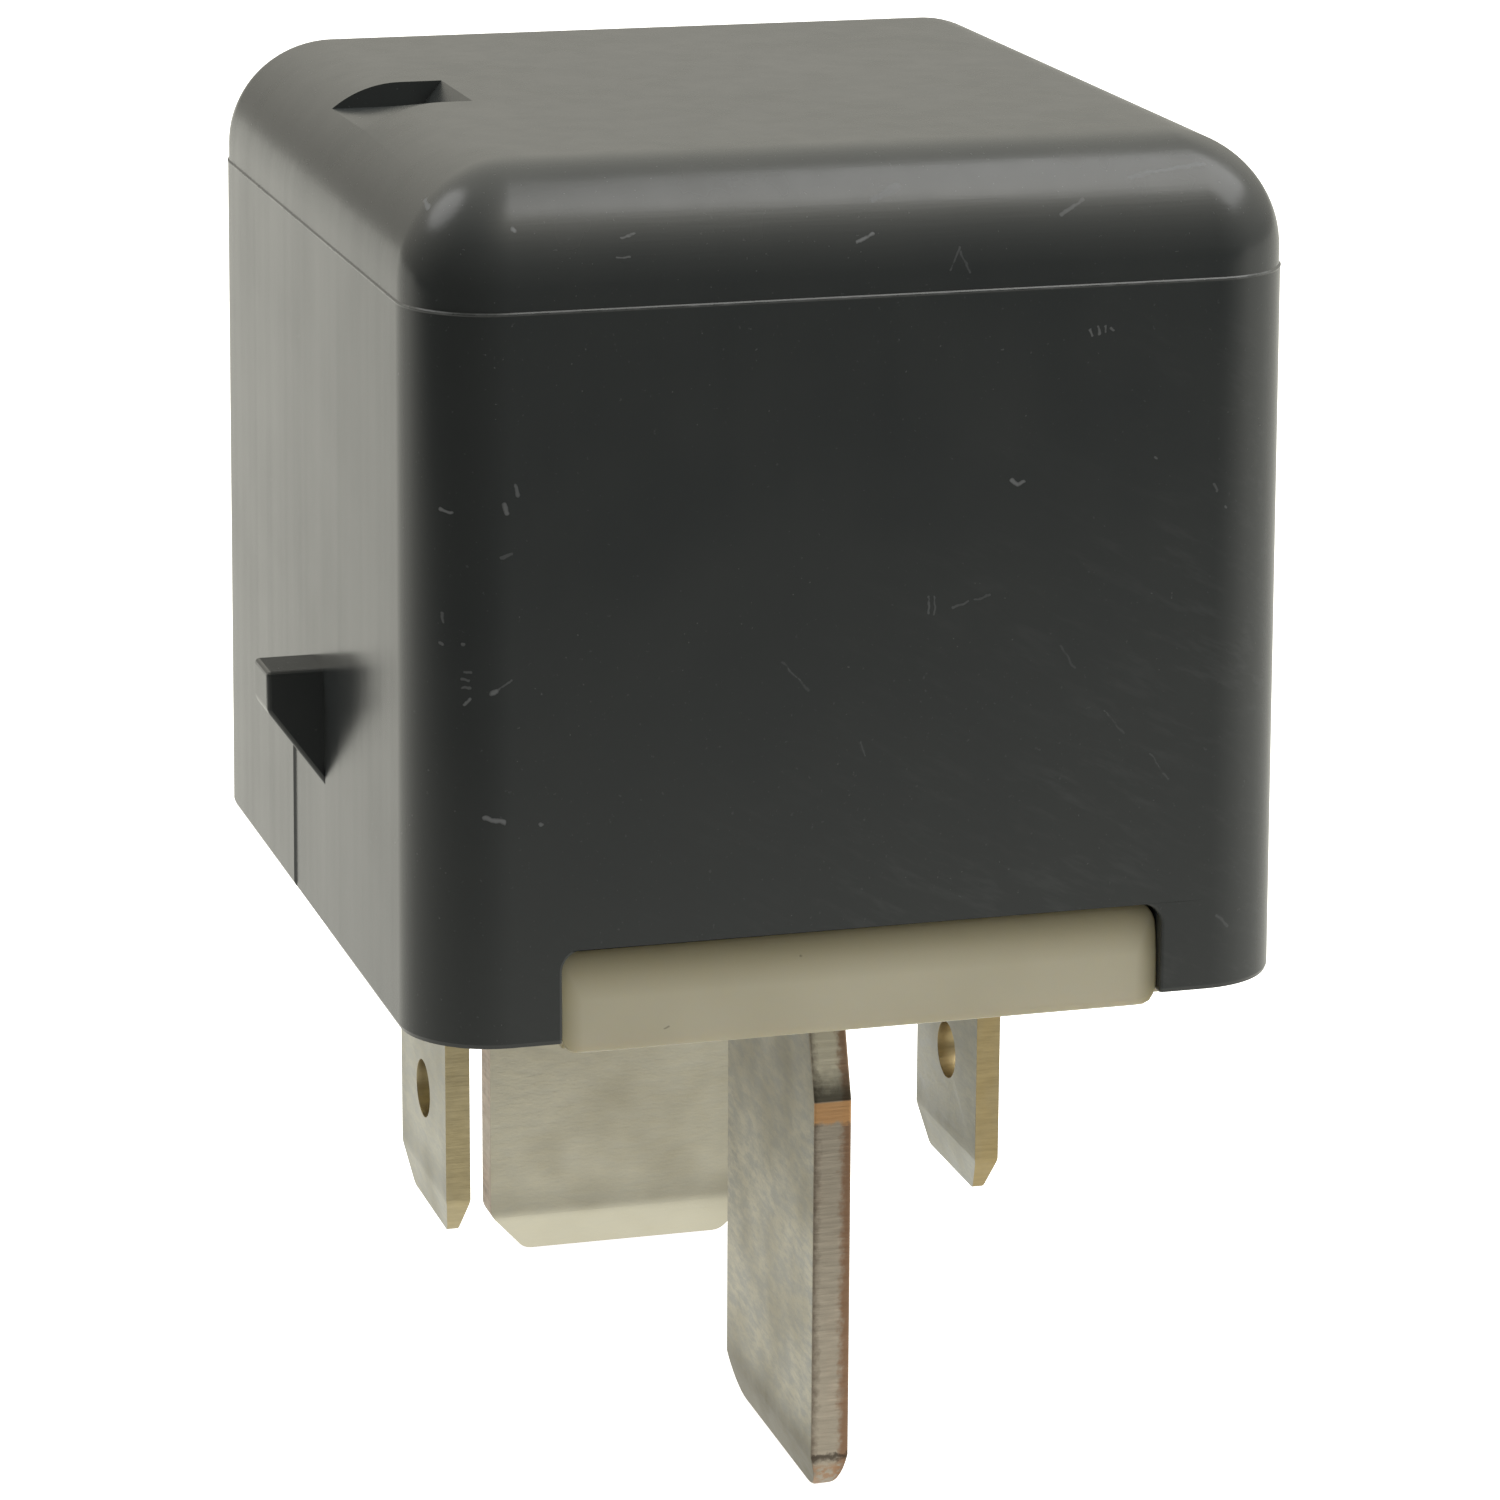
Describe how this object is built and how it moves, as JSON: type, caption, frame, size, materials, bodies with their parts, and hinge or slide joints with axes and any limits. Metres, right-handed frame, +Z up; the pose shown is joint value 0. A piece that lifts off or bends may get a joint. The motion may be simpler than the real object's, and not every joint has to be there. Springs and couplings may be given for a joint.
{
  "type": "automotive relay",
  "caption": "Plug-in automotive power relay: black clip-on cover over a cream base, wide power blades and narrower coil blades below, magnet, armature and contacts inside.",
  "frame": {"origin": "centre of the base's flat underside, the face that meets the socket; the cover is centred over it", "axes": "+Z up, out through the cover's top and against the direction of plugging in; -Y to the front, the side with the notch in the cover rim; +X to the right"},
  "size_m": [0.0304, 0.03, 0.0421],
  "materials": {
    "cover_plastic": "semi-gloss black moulding, lightly scuffed",
    "base_plastic": "cream moulding, satin",
    "tinned_copper": "dull tin plating, bare copper on the sheared edges",
    "tinned_brass": "dull tin plating, bare brass on the sheared edges",
    "plated_steel": "zinc-plated steel, satin",
    "bobbin_plastic": "natural moulding",
    "enamelled_wire": "copper wire under clear red-brown enamel",
    "tape": "amber polyester tape",
    "spring_bronze": "rolled copper alloy strip",
    "rivet_metal": "headed, bright",
    "contact_silver": "silver alloy, dull",
    "spring_steel": "drawn wire",
    "copper_braid": "bare copper strands",
    "resistor_body": "lacquered ceramic",
    "tinned_wire": "tinned wire",
    "solder": "lead-free solder, bright"
  },
  "bodies": {
    "relay": {"cover": "cover_plastic", "base": "base_plastic", "terminal_30": "tinned_copper", "terminal_87": "tinned_copper", "terminal_85": "tinned_brass", "terminal_86": "tinned_brass", "yoke": "plated_steel", "core": "plated_steel", "bobbin": "bobbin_plastic", "coil_winding": "enamelled_wire", "coil_tape": "tape", "coil_leads": "enamelled_wire", "fixed_contact": "contact_silver", "return_spring": "spring_steel", "braid": "copper_braid", "backstop": "plated_steel", "resistor": "resistor_body", "resistor_leads": "tinned_wire", "solder_joints": "solder"},
    "armature_set": {"armature": "plated_steel", "contact_spring": "spring_bronze", "leaf_rivets": "rivet_metal", "moving_contact": "contact_silver"}
  },
  "joints": [
    {"name": "armature_hinge", "type": "hinge", "parent": "relay", "child": "armature_set", "pos_m": [0, -0.011, 0.0202], "axis": [-1, 0, 0], "range_deg": [0, 3], "stiffness_Nm_per_rad": 0.03, "springref_deg": -11.46, "deforming": ["return_spring", "braid"]}
  ]
}
